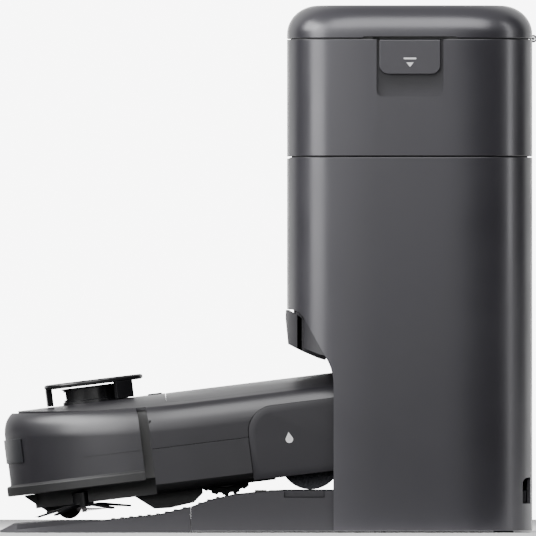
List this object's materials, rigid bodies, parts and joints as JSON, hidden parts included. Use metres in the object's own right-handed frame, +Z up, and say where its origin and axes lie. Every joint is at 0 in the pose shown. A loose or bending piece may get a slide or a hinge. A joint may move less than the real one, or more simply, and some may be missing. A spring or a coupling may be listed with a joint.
{
  "type": "robot vacuum",
  "caption": "Robot vacuum and mop parked nose-out on the ramp of its tall self-emptying dock, with pull-out water tanks, a lift-up lid and a turret on the robot.",
  "frame": {"origin": "on the floor, under the middle of the object's bounding box", "axes": "+Z up; +X from the ramp's tip to the back of the dock, so the robot faces -X; +Y to the robot's right"},
  "size_m": [0.4512, 0.36, 0.442],
  "materials": {
    "shell_grey": "satin, fine grain",
    "dark_grey": "matte",
    "base_grey": "matte, moulded",
    "black_plastic": "semi-gloss",
    "black_rubber": "matte",
    "tyre": "matte",
    "smoked_plastic": "polished",
    "white_card": "matte",
    "steel": "turned",
    "contact_metal": "plated",
    "circuit_board": "lacquered",
    "bag_cloth": "non-woven",
    "mop_fleece": "deep pile",
    "bristle": "nylon"
  },
  "bodies": {
    "station": {"left_side_panel": "shell_grey", "right_side_panel": "shell_grey", "rear_cover": "shell_grey", "bay_hood": "dark_grey", "bay_back_wall": "dark_grey", "tier_deck": "dark_grey", "centre_column": "shell_grey", "lid_hinge_pin": "steel", "bag_chamber": "dark_grey", "dust_bag": "bag_cloth", "bag_collar": "white_card", "suction_motor": "black_plastic", "water_pump": "black_plastic", "power_board": "circuit_board", "inlet_socket": "black_plastic", "ramp_toe": "base_grey", "base_plate": "base_grey", "washing_tray": "dark_grey", "wiper_strip": "black_rubber", "front_foot_strip": "black_rubber", "rear_foot_strip": "black_rubber"},
    "lid": {"top_lid": "shell_grey"},
    "clean_tank": {"clean_tank_shell": "shell_grey", "clean_tank_top": "dark_grey"},
    "dirty_tank": {"dirty_tank_shell": "shell_grey", "dirty_tank_top": "dark_grey"},
    "clean_latch": {"clean_tank_latch": "shell_grey"},
    "dirty_latch": {"dirty_tank_latch": "shell_grey"},
    "door": {"front_door": "shell_grey"},
    "contact_left": {"charge_contact_left": "contact_metal"},
    "contact_right": {"charge_contact_right": "contact_metal"},
    "robot": {"chassis": "dark_grey", "upper_shell": "shell_grey", "bumper_backing": "black_rubber", "turret_cap": "black_plastic", "dust_box": "smoked_plastic", "battery": "black_plastic", "fan_motor": "black_plastic", "main_board": "circuit_board", "brush_guard": "black_plastic", "mop_cover_left": "dark_grey", "mop_cover_right": "dark_grey"},
    "bumper": {"bumper": "shell_grey", "sensor_window": "smoked_plastic"},
    "lidar": {"lidar_drum": "black_plastic"},
    "power_key": {"power_button": "shell_grey"},
    "home_key": {"home_button": "shell_grey"},
    "cover": {"top_cover": "shell_grey"},
    "side_brush": {"side_brush": "bristle"},
    "left_arm": {"left_wheel_arm": "dark_grey"},
    "right_arm": {"right_wheel_arm": "dark_grey"},
    "left_wheel": {"left_tyre": "tyre", "left_wheel_hub": "black_plastic"},
    "right_wheel": {"right_tyre": "tyre", "right_wheel_hub": "black_plastic"},
    "caster_fork": {"caster_fork": "black_plastic"},
    "caster_wheel": {"caster_wheel": "tyre"},
    "main_brush": {"main_brush": "black_rubber"},
    "mop_carriage": {"mop_carriage": "dark_grey"},
    "mop_roller": {"mop_roller": "mop_fleece"}
  },
  "joints": [
    {"name": "lid_hinge", "type": "hinge", "parent": "station", "child": "lid", "pos_m": [0.2224, 0, 0.4144], "axis": [0, 1, 0], "range_deg": [0, 80]},
    {"name": "clean_tank_slide", "type": "slide", "parent": "station", "child": "clean_tank", "axis": [0, -1, 0], "range_m": [0, 0.16]},
    {"name": "dirty_tank_slide", "type": "slide", "parent": "station", "child": "dirty_tank", "axis": [0, 1, 0], "range_m": [0, 0.16]},
    {"name": "clean_latch_pivot", "type": "hinge", "parent": "clean_tank", "child": "clean_latch", "pos_m": [0.1184, -0.176, 0.4095], "axis": [-1, 0, 0], "range_deg": [0, 35], "stiffness_Nm_per_rad": 0.05, "springref_deg": -11.46},
    {"name": "dirty_latch_pivot", "type": "hinge", "parent": "dirty_tank", "child": "dirty_latch", "pos_m": [0.1184, 0.176, 0.4095], "axis": [1, 0, 0], "range_deg": [0, 35], "stiffness_Nm_per_rad": 0.05, "springref_deg": -11.46},
    {"name": "door_hinge", "type": "hinge", "parent": "station", "child": "door", "pos_m": [0.017, 0.11175, 0.25], "axis": [0, 0, -1], "range_deg": [0, 100]},
    {"name": "contact_left_press", "type": "slide", "parent": "station", "child": "contact_left", "axis": [1, 0, 0], "range_m": [0, 0.0025], "stiffness_N_per_m": 300, "springref_m": -0.002},
    {"name": "contact_right_press", "type": "slide", "parent": "station", "child": "contact_right", "axis": [1, 0, 0], "range_m": [0, 0.0025], "stiffness_N_per_m": 300, "springref_m": -0.002},
    {"name": "robot_drive", "type": "slide", "parent": "station", "child": "robot", "axis": [-0.9998, 0, -0.02], "range_m": [0, 0.09]},
    {"name": "bumper_press", "type": "slide", "parent": "robot", "child": "bumper", "axis": [0.9925, 0, 0.1219], "range_m": [0, 0.004], "stiffness_N_per_m": 300, "springref_m": -0.004},
    {"name": "lidar_spin", "type": "hinge", "parent": "robot", "child": "lidar", "pos_m": [-0.14451, 0, 0.10463], "axis": [-0.1219, 0, 0.9925], "continuous": true},
    {"name": "power_press", "type": "slide", "parent": "robot", "child": "power_key", "axis": [0.1219, 0, -0.9925], "range_m": [0, 0.001], "stiffness_N_per_m": 400, "springref_m": -0.0005},
    {"name": "home_press", "type": "slide", "parent": "robot", "child": "home_key", "axis": [0.1219, 0, -0.9925], "range_m": [0, 0.001], "stiffness_N_per_m": 400, "springref_m": -0.0005},
    {"name": "cover_lift", "type": "hinge", "parent": "robot", "child": "cover", "pos_m": [0.09507, 0, 0.13908], "axis": [0, 1, 0], "range_deg": [0, 9]},
    {"name": "side_brush_spin", "type": "hinge", "parent": "robot", "child": "side_brush", "pos_m": [-0.15527, -0.09492, 0.02472], "axis": [-0.1219, 0, 0.9925], "continuous": true},
    {"name": "left_arm_swing", "type": "hinge", "parent": "robot", "child": "left_arm", "pos_m": [-0.08036, -0.1006, 0.06213], "axis": [0, -1, 0], "range_deg": [0, 12], "stiffness_Nm_per_rad": 4, "springref_deg": -17.19},
    {"name": "left_wheel_spin", "type": "hinge", "parent": "left_arm", "child": "left_wheel", "pos_m": [-0.03782, -0.119, 0.06446], "axis": [0, 1, 0], "continuous": true},
    {"name": "right_arm_swing", "type": "hinge", "parent": "robot", "child": "right_arm", "pos_m": [-0.08036, 0.1006, 0.06213], "axis": [0, -1, 0], "range_deg": [0, 12], "stiffness_Nm_per_rad": 4, "springref_deg": -17.19},
    {"name": "right_wheel_spin", "type": "hinge", "parent": "right_arm", "child": "right_wheel", "pos_m": [-0.03782, 0.119, 0.06446], "axis": [0, 1, 0], "continuous": true},
    {"name": "caster_swivel", "type": "hinge", "parent": "robot", "child": "caster_fork", "pos_m": [-0.17111, 0, 0.0258], "axis": [-0.1219, 0, 0.9925], "continuous": true},
    {"name": "caster_roll", "type": "hinge", "parent": "caster_fork", "child": "caster_wheel", "pos_m": [-0.16758, 0, 0.0217], "axis": [0, 1, 0], "continuous": true},
    {"name": "main_brush_spin", "type": "hinge", "parent": "robot", "child": "main_brush", "pos_m": [-0.08834, 0, 0.041], "axis": [0, 1, 0], "continuous": true},
    {"name": "mop_lift", "type": "slide", "parent": "robot", "child": "mop_carriage", "axis": [-0.1219, 0, 0.9925], "range_m": [0, 0.008]},
    {"name": "mop_roll", "type": "hinge", "parent": "mop_carriage", "child": "mop_roller", "pos_m": [0.035, 0, 0.06219], "axis": [0, 1, 0], "continuous": true}
  ]
}
